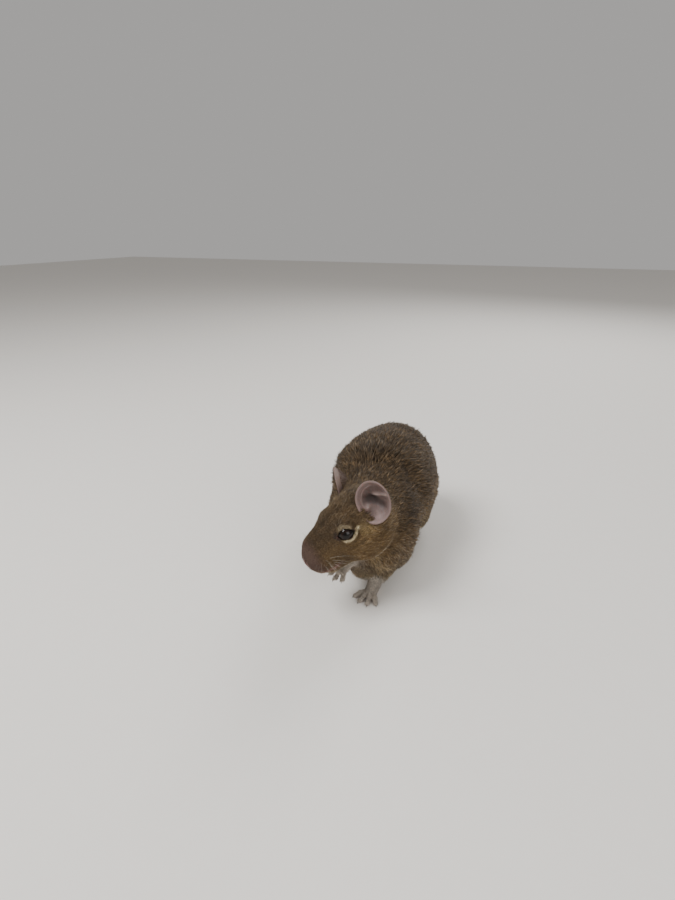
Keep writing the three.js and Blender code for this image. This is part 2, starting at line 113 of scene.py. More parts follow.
# %% [markdown]
# A soft body is easiest to describe as a field: a rule that gives, for any point, how far it is
# from the surface, and less than nothing inside. Ovals and tapering rods are added with a
# rounded joint, so flesh flows from part to part with no seam. Modelling by hand in sculpt mode
# would do as well, but a field can be measured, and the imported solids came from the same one.

# %% Shapes that a field is made of
def blend(a, b, soft):
    near = np.maximum(soft - np.abs(a - b), 0) / soft
    return np.minimum(a, b) - near * near * soft / 4
def carve(a, b, soft):
    return -blend(-a, b, soft)
def oval(p, centre, size):
    q = (p - np.asarray(centre)) / np.asarray(size, float)
    once = np.linalg.norm(q, axis=1)
    twice = np.linalg.norm(q / np.asarray(size, float), axis=1)
    return once * (once - 1) / np.maximum(twice, 1e-6)
def rod(p, start, end, start_radius, end_radius):
    start, along = np.asarray(start, float), np.subtract(end, start)
    square = along @ along
    thin = start_radius - end_radius
    slope = square - thin * thin
    q = p - start
    y = q @ along
    z = y - square
    across = ((q * square - along * y[:, None]) ** 2).sum(axis=1)
    y_part, z_part = y * y * square, z * z * square
    bound = np.sign(thin) * thin * thin * across
    past_end = np.sqrt(across + z_part) / square - end_radius
    before = np.sqrt(across + y_part) / square - start_radius
    beside = (np.sqrt(across * slope / square) + y * thin) / square - start_radius
    at_end = np.sign(z) * slope * z_part > bound
    at_start = np.sign(y) * slope * y_part < bound
    return np.where(at_end, past_end, np.where(at_start, before, beside))
def chain(p, points, radii, soft):
    whole = None
    for i in range(len(points) - 1):
        link = rod(p, points[i], points[i + 1], radii[i], radii[i + 1])
        whole = link if whole is None else blend(whole, link, soft)
    return whole
def ramp(x, low, high):
    t = np.clip((x - low) / (high - low), 0, 1)
    return t * t * (3 - 2 * t)
def fade(x, low, high):
    return 1 - ramp(x, low, high)

# %% [markdown]
# The skin lies inside the outline by the depth of the coat: over 2 mm on the body, 1 mm or less
# on the front of the face, nothing on the feet. The head is symmetrical, so it is described for one
# side with the distance from its middle plane. Eyelids are a thin shell over the eyeball with an
# almond opening; nostrils, the cleft under the nose and the line of the mouth are grooves.

# %% Describe the head
FACE_COAT = ([-8, 8, 20, 34, 44], [2.2, 1.7, 1.0, 0.6, 0.1])
EYE_OUT = np.array([0.30, 0.93, 0.20])
EYE_OUT = EYE_OUT / np.linalg.norm(EYE_OUT)
EYE_ALONG = np.cross(EYE_OUT, [0.05, 0.0, 1.0])
EYE_ALONG = EYE_ALONG / np.linalg.norm(EYE_ALONG)
EYE_UP = np.cross(EYE_ALONG, EYE_OUT)
SOCKET_OVERLAP = 0.05
def eye_view(side):
    q = side - EYE_PLACE
    return q @ EYE_ALONG, q @ EYE_UP, q @ EYE_OUT
def almond(side):
    along, up, _ = eye_view(side)
    tilted = up - 0.16 * along
    height = np.where(tilted > 0, 3.3, 2.7) * (1 - 0.012 * along * along)
    return (np.sqrt((along / 4.7) ** 2 + (tilted / np.maximum(height, 1)) ** 2) - 1) * 3.5
EAR_POSES = {"left": ((9.2, 16.8, 2.8), (-0.38, 0.25, 0.87), (0.75, 0.62, 0.1)),
             "right": ((9, -19.2, 3), (-0.4, -0.6, 0.64), (0.85, -0.35, 0.3))}
def ear_axes(name):
    base, axis, way = (np.array(part, float) for part in EAR_POSES[name])
    up = axis / np.linalg.norm(axis)
    out = way - (way @ up) * up
    out = out / np.linalg.norm(out)
    return base, np.column_stack([np.cross(up, out), up, out])
def head_field(h):
    side = np.column_stack([h[:, 0], np.abs(h[:, 1]), h[:, 2]])
    d = oval(side, (8, 0, 0), (18, 15.5, 16))
    d = blend(d, rod(side, (20, 0, 0.5), (37, 0, -1.5), 14, 10.8), 9)
    d = blend(d, oval(side, (12, 8.5, -8), (14, 10, 13)), 8)
    d = blend(d, oval(side, (39, 4.5, -6.5), (7.5, 5.4, 6)), 5)
    d = blend(d, oval(side, (43.5, 0, -3.5), (5, 5, 5)), 4)
    d = blend(d, rod(side, (16, 0, -12), (35, 0, -13.2), 8.5, 5.6), 6)
    d = blend(d, oval(side, (22, 8.6, 5.2), (8.5, 4.8, 5)), 5)
    d = carve(d, oval(side, (14, 18.5, 8), (7.5, 6.5, 10)), 3)
    d = d + np.interp(h[:, 0], *FACE_COAT)
    for name, reach in (("left", 7.0), ("right", 4.0)):
        base, axes = ear_axes(name)
        d = carve(d, oval((h - base) @ axes, (0, 14, 2.0), (9.3, 12.3, reach)), 2.0)
    along, up, out = eye_view(side)
    ball = np.sqrt(along ** 2 + up ** 2 + out ** 2)
    d = blend(d, ball - EYE_RADIUS - 0.75, 1.6)
    opening = np.maximum(almond(side), 1.0 - out)
    d = carve(d, opening, 0.7)
    d = carve(d, ball - EYE_RADIUS + SOCKET_OVERLAP, 0.15)
    nostril = rod(side, (48.3, 1.2, -2.7), (46.9, 2.7, -1.2), 0.5, 0.85)
    d = carve(d, nostril, 0.35)
    cleft = np.maximum(side[:, 1] - 0.28, np.abs(side[:, 2] + 7.2) - 3.4)
    d = carve(d, np.maximum(cleft, 41.5 - side[:, 0]), 0.8)
    lip = chain(side, [(46.0, 0.5, -9.2), (42, 5.6, -11.0), (36, 9.6, -12.0), (29, 11.6, -11.6)],
                [0.55, 0.75, 0.7, 0.3], 1)
    d = carve(d, lip, 1.2)
    return d

# %% [markdown]
# The limbs and the tail are chains of rods. Each toe is a short chain too, and its claw is a
# piece of its own later. The right forepaw is lifted, so its frame is tilted.

# %% Describe the limbs, feet and tail
FORELEGS = {"left": [(13, -34, 38), (17, -27, 22), (9, -41, 8.5)],
            "right": [(-12, -34, 38), (0, -41, 16), (-2, -54, 29.2)]}
FORE_RADII = {"left": (11.0, 6.7, 3.9), "right": (11.0, 5.8, 3.7)}
THIGH = ((18, 38, 31), (12, 21, 23))
SHANK = ([(19, 26, 17), (15, 53, 9)], (8.6, 4.6))
RUMP_X = -4
SOLE = 20.16
def foot_axes(heading, tilt):
    return turn("Z", -90 + heading) @ turn("Y", tilt)
FEET = {"fore left": ((8.5, -44, 0), foot_axes(-10, 0)),
        "fore right": ((-2.5, -55, 25.2), foot_axes(-40, 20)),
        "hind left": ((8, 56, 0), foot_axes(8, 0)),
        "hind right": ((-19, 54, 0), foot_axes(-8, 0))}
def toes_of(kind):
    toes = []
    fore = kind == "fore"
    headings = (-38, -12, 12, 38) if fore else (-22, -9, 0, 9, 20)
    reach = (0.85, 1, 0.98, 0.8) if fore else (0.62, 0.93, 1, 0.95, 0.66)
    for i, heading in enumerate(headings):
        inset = 2.5 if i % 4 == 0 else 0
        root = np.array([5.5, (i - 1.5) * 1.9, 2.0] if fore else [SOLE - inset, (i - 2) * 1.7, 2.1])
        length = (9 if fore else 14.84) * reach[i]
        radius, lift = (1.25, 0.6) if fore else (1.45, 0.7)
        aim = np.array([math.cos(math.radians(heading)), math.sin(math.radians(heading)), 0])
        points = [root, root + aim * length * 0.45, root + aim * length * 0.84,
                  root + aim * length * 0.98, root + aim * length * 1.2]
        for point, height in zip(points[1:], (root[2] + lift, 0.72 * radius, 0.85 * radius, 0.5)):
            point[2] = height
        toes.append((points, [radius * 1.05, radius, radius * 0.95, radius * 0.7]))
    return toes
PALMS = {"fore": ([(0, 0, 5), (5, 0, 2.1)], (3.9, 3.6)),
         "hind": ([(3, 0, 3.8), (SOLE * 0.6, 0, 3.2), (SOLE, 0, 2.7)], (3.9, 3.7, 3.6))}
TAIL_STEPS = np.linspace(0, 1, 15)
TAIL = []
for t in TAIL_STEPS:
    droop = math.exp(-3.2 * t) * (1 - 0.15 * t)
    bushy = math.exp(-((t - 0.84) / 0.13) ** 2)
    coat = 5.6 * (1 - t) ** 1.2 + 2.1 + 2.6 * bushy - 2 * max(0, (t - 0.93) / 0.07)
    height = max(coat - 0.3, 3 + 31 * droop)
    TAIL.append((-4 - 22 * math.sin(2.2 * t) * t, 62 + 99.84 * t, height))
TAIL_RADII = [4.6 * (1 - t) ** 1.2 + 1.1 for t in TAIL_STEPS]

# %% [markdown]
# One function gives the distance to every part, because the skin, the lie of the coat and its
# markings all ask where a point is. The head, feet and tail are only worked out near them.

# %% Join the parts
LOWEST_SKIN = 0.02
def near(p, centre, reach, field):
    d = np.full(len(p), 60.0)
    close = np.abs(p - np.asarray(centre)).max(axis=1) < reach
    if close.any():
        d[close] = np.minimum(field(p[close]), 60)
    return d
def parts(p):
    d = {}
    d["rump"] = oval(p, (RUMP_X, 35, 45), (31, 33, 37))
    loin = oval(p, (-3, 6, 51), (34, 36, 37))
    d["trunk"] = blend(blend(d["rump"], loin, 14), oval(p, (2, -27, 39), (27, 27, 31)), 14) + 2.4
    d["neck"] = rod(p, (0, -30, 50), in_head((6, 0, -1)), 21.8, 14.8)
    d["head"] = near(p, in_head((20, 0, -3)), 48, lambda q: head_field(to_head(q)))
    for side, joints in FORELEGS.items():
        d["foreleg " + side] = chain(p, joints, FORE_RADII[side], 5)
    for side, sign in (("left", 1), ("right", -1)):
        q = np.column_stack([sign * (p[:, 0] - RUMP_X), p[:, 1], p[:, 2]])
        d["hindleg " + side] = blend(oval(q, *THIGH), chain(q, *SHANK, 5), 8)
    for name, (place, axes) in FEET.items():
        kind = name.split()[0]
        def foot(q, place=place, axes=axes, kind=kind):
            local = (q - np.asarray(place)) @ axes
            whole = chain(local, *PALMS[kind], 3)
            for points, radii in toes_of(kind):
                whole = blend(whole, chain(local, points[:4], radii, 0.8), 1.2)
            return whole
        centre = np.asarray(place) + axes @ np.array([14 if kind == "hind" else 6, 0, 3])
        d["foot " + name] = near(p, centre, 30, foot)
    d["tail"] = near(p, (-14, 112, 20), 62, lambda q: chain(q, TAIL, TAIL_RADII, 2))
    return d
def skin_field(p):
    d = parts(p)
    whole = blend(blend(d["trunk"], d["neck"], 12), d["head"], 7)
    for name in ("foreleg left", "foreleg right", "hindleg left", "hindleg right", "tail"):
        whole = blend(whole, d[name], 6)
    for name in FEET:
        whole = blend(whole, d["foot " + name], 2.5)
    eye = np.minimum(np.linalg.norm(p - in_head(EYE_PLACE), axis=1),
                     np.linalg.norm(p - in_head(EYE_PLACE * [1, -1, 1]), axis=1))
    whole = np.maximum(whole, EYE_RADIUS - SOCKET_OVERLAP - eye)
    return np.maximum(whole, LOWEST_SKIN - p[:, 2])

# %% [markdown]
# The field becomes a mesh with surface nets. Space is cut into small cubes, each cube that the
# surface passes through gets one corner at the mean of its crossings, and corners of
# neighbouring cubes are joined. The field is only worked out finely in blocks near the surface.
# The face is then divided once more, and each corner is drawn onto the surface exactly.

# %% Turn the field into a skin
STEP = 1.0
BLOCK = 4
SKIN_CORNER = (-46, -100, -6)
SKIN_BLOCKS = (24, 68, 27)
def slope_of(p, small=0.12):
    grow = np.zeros_like(p)
    for corner in ((1, -1, -1), (-1, -1, 1), (-1, 1, -1), (1, 1, 1)):
        corner = np.array(corner, float)
        grow += corner * skin_field(p + corner * small)[:, None]
    return grow / (4 * small)
def surface_net(low, counts):
    size = STEP * BLOCK
    grids = [low[i] + (np.arange(counts[i]) + 0.5) * size for i in range(3)]
    centres = np.stack(np.meshgrid(*grids, indexing="ij"), axis=-1).reshape(-1, 3)
    rough = skin_field(centres)
    field = np.repeat(rough, BLOCK ** 3).reshape(*counts, BLOCK, BLOCK, BLOCK)
    close = np.abs(rough) < size * 1.15
    steps = (np.arange(BLOCK) + 0.5) * STEP - size / 2
    inner = np.stack(np.meshgrid(steps, steps, steps, indexing="ij"), axis=-1).reshape(1, -1, 3)
    fine = (centres[close][:, None, :] + inner).reshape(-1, 3)
    values = np.concatenate([skin_field(part) for part in np.array_split(fine, 8)])
    field.reshape(-1, BLOCK ** 3)[close] = values.reshape(-1, BLOCK ** 3)
    field = field.transpose(0, 3, 1, 4, 2, 5).reshape([c * BLOCK for c in counts])
    inside = field < 0
    corners = [(a, b, c) for a in (0, 1) for b in (0, 1) for c in (0, 1)]
    def part(grid, a, b, c):
        n = grid.shape
        return grid[a:n[0] - 1 + a, b:n[1] - 1 + b, c:n[2] - 1 + c]
    count = sum(part(inside, *c).astype(np.int8) for c in corners)
    cells = np.argwhere((count > 0) & (count < 8))
    number = np.full(count.shape, -1)
    number[tuple(cells.T)] = np.arange(len(cells))
    total, crossings = np.zeros((len(cells), 3)), np.zeros(len(cells))
    for a in corners:
        for axis in range(3):
            if a[axis]:
                continue
            b = list(a)
            b[axis] = 1
            from_value = field[tuple((cells + a).T)]
            to_value = field[tuple((cells + b).T)]
            cross = (from_value < 0) != (to_value < 0)
            share = from_value[cross] / (from_value[cross] - to_value[cross])
            spot = np.array(a, float) + np.zeros((cross.sum(), 3))
            spot[:, axis] += share
            total[cross] += spot
            crossings[cross] += 1
    points = np.asarray(low) + (cells + total / crossings[:, None] + 0.5) * STEP
    faces = []
    for axis in range(3):
        other, third = (axis + 1) % 3, (axis + 2) % 3
        here = [slice(1, -1)] * 3
        ahead = [slice(1, -1)] * 3
        here[axis], ahead[axis] = slice(0, -1), slice(1, None)
        starts, ends = inside[tuple(here)], inside[tuple(ahead)]
        for out in (True, False):
            edges = np.argwhere((starts == out) & (ends != out)) + 1
            edges[:, axis] -= 1
            ring = []
            for da, db in ((-1, -1), (0, -1), (0, 0), (-1, 0)):
                cell = edges.copy()
                cell[:, other] += da
                cell[:, third] += db
                ring.append(number[tuple(cell.T)])
            faces.append(np.column_stack(ring if out else ring[::-1]))
    return points, np.concatenate(faces)
def new_piece(name, points, faces, smooth=True):
    mesh = bpy.data.meshes.new(name)
    mesh.from_pydata(((points + SHIFT) / 1000).tolist(), [], [list(f) for f in faces])
    if smooth:
        mesh.shade_smooth()
    return add_object(name, mesh)
def read_corners(mesh, field):
    values = np.empty(len(mesh.vertices) * 3)
    mesh.vertices.foreach_get(field, values)
    return values.reshape(-1, 3)
def corners_of(mesh):
    return read_corners(mesh, "co") * 1000 - SHIFT
def move_corners(mesh, points):
    mesh.vertices.foreach_set("co", ((points + SHIFT) / 1000).ravel())
points, faces = surface_net(SKIN_CORNER, SKIN_BLOCKS)
say("net of the skin:", len(points), "corners", len(faces), "faces,")

# %% Divide the face and settle every corner
def settle(points, rounds):
    for _ in range(rounds):
        grow = slope_of(points)
        stretch = np.maximum((grow ** 2).sum(axis=1), 0.2)
        move = skin_field(points) / stretch
        points = points - np.clip(move, -0.5, 0.5)[:, None] * grow
    return points
skin = new_piece("skin", points, faces)
shape = bmesh.new()
shape.from_mesh(skin.data)
middles = corners_of(skin.data)
face_part = to_head(middles)[:, 0] > 15
face_edges = [e for e in shape.edges if face_part[e.verts[0].index] and face_part[e.verts[1].index]
              and to_head(middles[e.verts[0].index][None])[0, 2] > -18]
bmesh.ops.subdivide_edges(shape, edges=face_edges, cuts=1, use_grid_fill=True)
shape.to_mesh(skin.data)
shape.free()
settled = settle(corners_of(skin.data), 2)
move_corners(skin.data, settled)
skin.data.shade_smooth()
skin.data.update()
triangles = sum(len(f.vertices) - 2 for f in skin.data.polygons)
say("skin:", triangles, "triangles,")

FLESH = ["head", "neck", "chest", "loin", "rump", "lower_jaw", "nose_pad", "tail_base",
         "tail_middle", "tail_brush"]
for side in ("left", "right"):
    for part in ("thigh_", "shank_", "upper_arm_", "forearm_", "forefoot_", "hind_foot_"):
        FLESH.append(part + side)
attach(skin, "root")
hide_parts(*FLESH)

# %% [markdown]
# Everything that grows on the skin asks the same things of a place: which part it is on, which
# way the coat lies there and what colour it is. They are worked out once for each corner of the
# skin. A painted texture would need an unwrap and a brush; rules like these need neither, and
# the skin and the coat then carry exactly the same markings.

# %% Read the skin and name the parts it belongs to
def linear(code):
    share = np.array([int(code[i:i + 2], 16) for i in (1, 3, 5)]) / 255
    return np.where(share <= 0.04045, share / 12.92, ((share + 0.055) / 1.055) ** 2.4)
def unit(vectors):
    vectors = np.asarray(vectors, float)
    return vectors / np.maximum(np.linalg.norm(vectors, axis=-1, keepdims=True), 1e-9)
def mottle(p, size, seed):
    random = np.random.default_rng(seed)
    total = np.zeros(len(p))
    for _ in range(6):
        way = unit(random.normal(size=3)) * 2 * math.pi / size * random.uniform(0.7, 1.4)
        total += np.sin(p @ way + random.uniform(0, 6.28))
    return total / 4
def toward(colours, code, share):
    return colours + (linear(code) - colours) * np.clip(share, 0, 1)[:, None]
def away(points, place, stretch=(1, 1, 1)):
    return np.linalg.norm((points - place) / np.asarray(stretch), axis=1)
spots = corners_of(skin.data)
facing = read_corners(skin.data, "normal")
near_part = parts(spots)
local = to_head(spots)
local_side = np.column_stack([local[:, 0], np.abs(local[:, 1]), local[:, 2]])
on_head = fade(near_part["head"], 1.5, 9)
foot_distance = np.min([near_part[n] for n in near_part if n.startswith("foot")], axis=0)
on_foot = fade(foot_distance, 0.3, 3.5)
on_tail = fade(near_part["tail"], 0.3, 3)
leg_distance = np.min([near_part[n] for n in near_part if "leg" in n], axis=0)
on_leg = fade(leg_distance, 0.5, 6)
along_eye, up_eye, out_eye = eye_view(local_side)
lid_distance = almond(local_side)
by_eye = fade(np.sqrt(along_eye ** 2 + up_eye ** 2), 9, 13) * ramp(out_eye, -4, -1)

# %% Paint the markings
coat_colour = np.tile(linear("#4f3e29"), (len(spots), 1))
def paint(code, share):
    global coat_colour
    coat_colour = toward(coat_colour, code, share)
height = spots[:, 2] + 5 * mottle(spots, 34, 1)
face_down = -(facing @ HEAD_AXES[:, 2])
paint("#372b1d", 0.5 * ramp(mottle(spots, 22, 2), 0.0, 0.9))
paint("#735c3c", 0.75 * fade(height, 34, 62))
paint("#b7a27e", fade(height, 14, 30) * ramp(-facing[:, 2], -0.35, 0.5))
paint("#5a4831", on_head * 0.85)
paint("#705939", on_head * ramp(local_side[:, 1], 8, 13) * fade(local[:, 2], -2, 7) * 0.9)
paint("#84704b", on_head * fade(away(local_side, [13.5, 14, 1]), 2, 6) * 0.55)
paint("#4e3e2b", on_head * ramp(local[:, 0], 18, 30) * ramp(local[:, 2], 2, 9) * 0.8)
paint("#57433a", on_head * ramp(local[:, 0], 39, 46))
lip_distance = np.abs(local[:, 2] + 10.2 + 0.1 * (46 - local[:, 0]))
paint("#96706a", on_head * np.exp(-lip_distance / 1.1) * ramp(local[:, 0], 31, 38))
paint("#cdbfa8", on_head * ramp(face_down, 0.72, 0.95) * ramp(-local[:, 2], 12, 16))
paint("#a3906f", ramp(-(facing[:, 1]) * 0.6 - facing[:, 2], 0.7, 1.2) * (1 - on_leg)
      * fade(spots[:, 1], -52, -34) * fade(spots[:, 2], 30, 42) * 0.8)
behind = fade(along_eye, 1.5, 4.5)
paint("#d8c7a2", by_eye * ramp(lid_distance, 0.4, 0.9) * fade(lid_distance, 1.6, 2.8) * behind
      * np.where(up_eye < 0, 1.0, 0.3 * fade(-along_eye, 3, 5)))
paint("#3a2e27", by_eye * ramp(along_eye, 3.8, 5.4) * fade(lid_distance, 1.5, 3.5))
paint("#7a6b56", on_leg * fade(spots[:, 2], 18, 34) * 0.7)
lifted = ramp(spots[:, 2], 13, 18) * (spots[:, 1] < -30)
paint("#cdc5ba", fade(np.abs(foot_distance - 2.0), 1, 4.5) * (0.85 - 0.6 * lifted))
paint("#5f5040", lifted * on_leg * 0.5)
paint("#b3a99d", on_foot * (1 - 0.3 * lifted))
for name in EAR_POSES:
    base, axes = ear_axes(name)
    cup = (local - base) @ axes
    from_tuft = away(cup, [1.5, 0.5, 1.5], [4.5, 2.2, 3])
    paint("#bda982", (0.6 if name == "left" else 0.25) * fade(from_tuft, 0.5, 1.2))
paint("#54463a", on_tail * ramp(spots[:, 1], 62, 76))
paint("#9d8a6c", on_tail * ramp(-facing[:, 2], 0.0, 0.7) * ramp(spots[:, 1], 70, 80) * 0.7)
paint("#1d1815", on_tail * ramp(spots[:, 1], 122, 138))
nose_distance = away(local_side, [48, 0, -3.4], [1, 1.15, 1])
bare_nose = on_head * fade(nose_distance, 2.4, 3.8)
bare = np.clip(bare_nose + by_eye * fade(lid_distance, 0.1, 0.6), 0, 1)
skin_tone = coat_colour * np.array([0.62, 0.58, 0.56])
def lay(code, share):
    global skin_tone
    skin_tone = toward(skin_tone, code, share)
lay("#5d4a40", on_head * ramp(local[:, 0], 41, 45))
lay("#775d57", on_head * fade(nose_distance, 2.6, 4.2))
lay("#30211e", on_head * fade(away(local_side, [47.4, 2.0, -1.9]), 0.5, 1.3))
lay("#b98f86", on_head * fade(np.abs(local[:, 2] + 9.8 + 0.12 * (46 - local[:, 0])), 0.6, 1.6)
    * ramp(local[:, 0], 30, 40) * 0.7)
lay("#241a16", by_eye * fade(lid_distance, 0.3, 0.8))
lay("#8a5a50", by_eye * fade(lid_distance, 0.3, 1.0) * ramp(along_eye, 4.2, 5.0))
lay("#b0a599", on_foot)
lay("#b89c90", on_foot * ramp(-facing[:, 2], 0.2, 0.8))
def write_colour(mesh, name, colours):
    attribute = mesh.attributes.new(name, "FLOAT_COLOR", "POINT")
    attribute.data.foreach_set("color", np.column_stack([colours, np.ones(len(colours))]).ravel())
write_colour(skin.data, "skin_colour", skin_tone)

# %% [markdown]
# A degu's coat lies from nose to tail and down the limbs. Each part pulls the direction its own
# way, most where it is nearest, and the sum is pressed flat onto the skin.

# %% Find the lie of the coat
flow = np.zeros((len(spots), 3))
def pull(distance, way, reach, strength=1.0):
    global flow
    weight = strength * np.exp(-np.maximum(distance, 0) / reach)
    flow = flow + weight[:, None] * unit(way)
back = -HEAD_AXES[:, 0]
pull(near_part["trunk"], [0, 1, -0.4], 3)
pull(near_part["neck"], back * 0.5 + np.array([0, 0.7, -0.45]), 3)
from_nose = unit(local - [52, 0, 1]) @ HEAD_AXES.T
pull(near_part["head"], from_nose + 0.35 * back, 2, 1.6)
for side, joints in FORELEGS.items():
    pull(near_part["foreleg " + side], np.subtract(joints[2], joints[0]), 1.5, 0.8)
for side in ("left", "right"):
    pull(near_part["hindleg " + side], [0, 0.75, -0.65], 1.5, 0.7)
for name, (place, axes) in FEET.items():
    pull(near_part["foot " + name], axes[:, 0], 1.2, 3)
tail_points = np.array(TAIL)
tail_ways = np.gradient(tail_points, axis=0)
tail_way = np.column_stack([np.interp(spots[:, 1], tail_points[:, 1], tail_ways[:, i]) for i in range(3)])
pull(near_part["tail"], tail_way, 1.2, 3)
flow = flow + 0.10 * np.column_stack([mottle(spots, 17, s) for s in (11, 12, 13)])
flow = flow + 0.26 * np.column_stack([mottle(spots, 5, s) for s in (14, 15, 16)])
flow = unit(flow - facing * (flow * facing).sum(axis=1)[:, None])

# %% [markdown]
# The coat is 7 mm long on the back, 2 to 3 mm on the cheeks and about 1 mm on the feet and
# muzzle, and the black brush of the tail is the longest. Each tuft is a thin bent blade of ten
# triangles, and 140,000 of them overlap like tiles. Particle hair would be quicker, but it isn't
# solid and can't be exported, so arrays of blades are made.

# %% Choose the length, width, lift and number of tufts everywhere
coat_long = 7.2 + 1.0 * mottle(spots, 21, 5)
coat_wide = np.full(len(spots), 0.78)
coat_lift = 18 + 4 * mottle(spots, 13, 6) + 6 * mottle(spots, 4.5, 7)
coat_count = np.full(len(spots), 1.75)
def set_coat(share, long, wide, lift, count):
    global coat_long, coat_wide, coat_lift, coat_count
    share = np.clip(share, 0, 1)
    coat_long = coat_long + (long - coat_long) * share
    coat_wide = coat_wide + (wide - coat_wide) * share
    coat_lift = coat_lift + (lift - coat_lift) * share
    coat_count = coat_count + (count - coat_count) * share
set_coat(fade(near_part["neck"], 0, 6), 5.6, 0.55, 17, 2.6)
set_coat(on_leg * fade(spots[:, 2], 16, 38), 4.2, 0.45, 15, 3.2)
FACE_PLACES = [-6, 6, 16, 28, 40, 47]
head_long = np.interp(local[:, 0], FACE_PLACES, [6.0, 4.6, 3.2, 2.3, 1.5, 0.9])
head_wide = np.interp(local[:, 0], FACE_PLACES, [0.5, 0.44, 0.36, 0.30, 0.24, 0.2])
head_count = np.interp(local[:, 0], [-6, 10, 30, 46], [3, 5, 7.5, 9])
set_coat(on_head, head_long, head_wide, 15, head_count)
set_coat(by_eye * fade(lid_distance, 1, 5), 1.5, 0.24, 13, 9)
set_coat(on_tail * ramp(spots[:, 1], 64, 76), 3.0, 0.34, 17, 5)
set_coat(on_tail * ramp(spots[:, 1], 120, 136), 10.5, 0.40, 15, 8)
set_coat(fade(foot_distance, 1.0, 5), 1.5, 0.28, 12, 6)
under = ramp(-facing[:, 2], 0.35, 0.75)
coat_count = coat_count * (1 - 0.45 * under * (1 - on_head))
coat_count = coat_count * (1 - bare) * (1 - on_foot * ramp(-facing[:, 2], 0.1, 0.6))
coat_count = coat_count * ramp(spots[:, 2], 0.4, 1.2)
for name in EAR_POSES:
    base, axes = ear_axes(name)
    cup = (local - base) @ axes
    from_middle = np.hypot(cup[:, 0] / 10, (cup[:, 1] - 13.5) / 12.5)
    in_cup = fade(from_middle, 0.85, 1.05) * ramp(cup[:, 2], -6, -4)
    if name == "right":
        in_cup = in_cup * fade(cup[:, 2], -1, 1)
    coat_count = coat_count * (1 - in_cup)
coat_long = np.minimum(coat_long, 1.2 + np.maximum(spots[:, 2], 0) * 1.4)

# %% Scatter roots over the skin
random = np.random.default_rng(29)
skin.data.calc_loop_triangles()
sides = np.empty(len(skin.data.loop_triangles) * 3, dtype=np.int64)
skin.data.loop_triangles.foreach_get("vertices", sides)
sides = sides.reshape(-1, 3)
cross = np.cross(spots[sides[:, 1]] - spots[sides[:, 0]], spots[sides[:, 2]] - spots[sides[:, 0]])
wanted = np.linalg.norm(cross, axis=1) / 2 * coat_count[sides].mean(axis=1)
TUFTS = 140000
print("tufts asked for:", int(wanted.sum()), "made:", TUFTS)
draws = (np.arange(TUFTS) + random.random(TUFTS)) / TUFTS * wanted.sum()
picked = np.searchsorted(np.cumsum(wanted), draws)
picked = sides[np.minimum(picked, len(sides) - 1)]
mix = random.dirichlet((1, 1, 1), TUFTS)
def at_roots(values):
    values = values[picked]
    return np.einsum("nk,nk...->n...", mix, values)

# %% [markdown]
# Each tuft needs a small place of its own on a flat map, for when the looks are baked. The skin
# is unfolded like a box: the parts are laid out apart, and each is seen square on from the side
# that it faces most. Shelves of these views fill a square, which is simple and has no stretch
# worse than a box corner's.

# %% Unfold the skin for the roots
VIEW_GAP = 3
def unfold(points, normals, group):
    axis = np.abs(normals).argmax(axis=1)
    sign = normals[np.arange(len(points)), axis] > 0
    key = group * 6 + axis * 2 + sign
    flat = np.empty((len(points), 2))
    views = []
    for one in np.unique(key):
        rows = key == one
        keep = [i for i in range(3) if i != (one % 6) // 2]
        flat[rows] = points[rows][:, keep]
        low = flat[rows].min(axis=0)
        flat[rows] -= low
        size = flat[rows].max(axis=0)
        if size[0] < size[1]:
            flat[rows] = flat[rows][:, ::-1]
            size = size[::-1]
        views.append((size[1], size[0], one))
    views.sort(reverse=True)
    total = math.sqrt(sum((a + VIEW_GAP) * (b + VIEW_GAP) for a, b, _ in views)) * 1.15
    across, up, shelf = 0.0, 0.0, 0.0
    for tall, long, one in views:
        if across + long > total:
            across, up, shelf = 0.0, up + shelf + VIEW_GAP, 0.0
        flat[key == one] += [across, up]
        across, shelf = across + long + VIEW_GAP, max(shelf, tall)
    full = max(total, up + shelf, flat.max())
    print("unfolded", len(views), "views, square of", round(full), "mm")
    return flat / full * 0.99 + 0.004

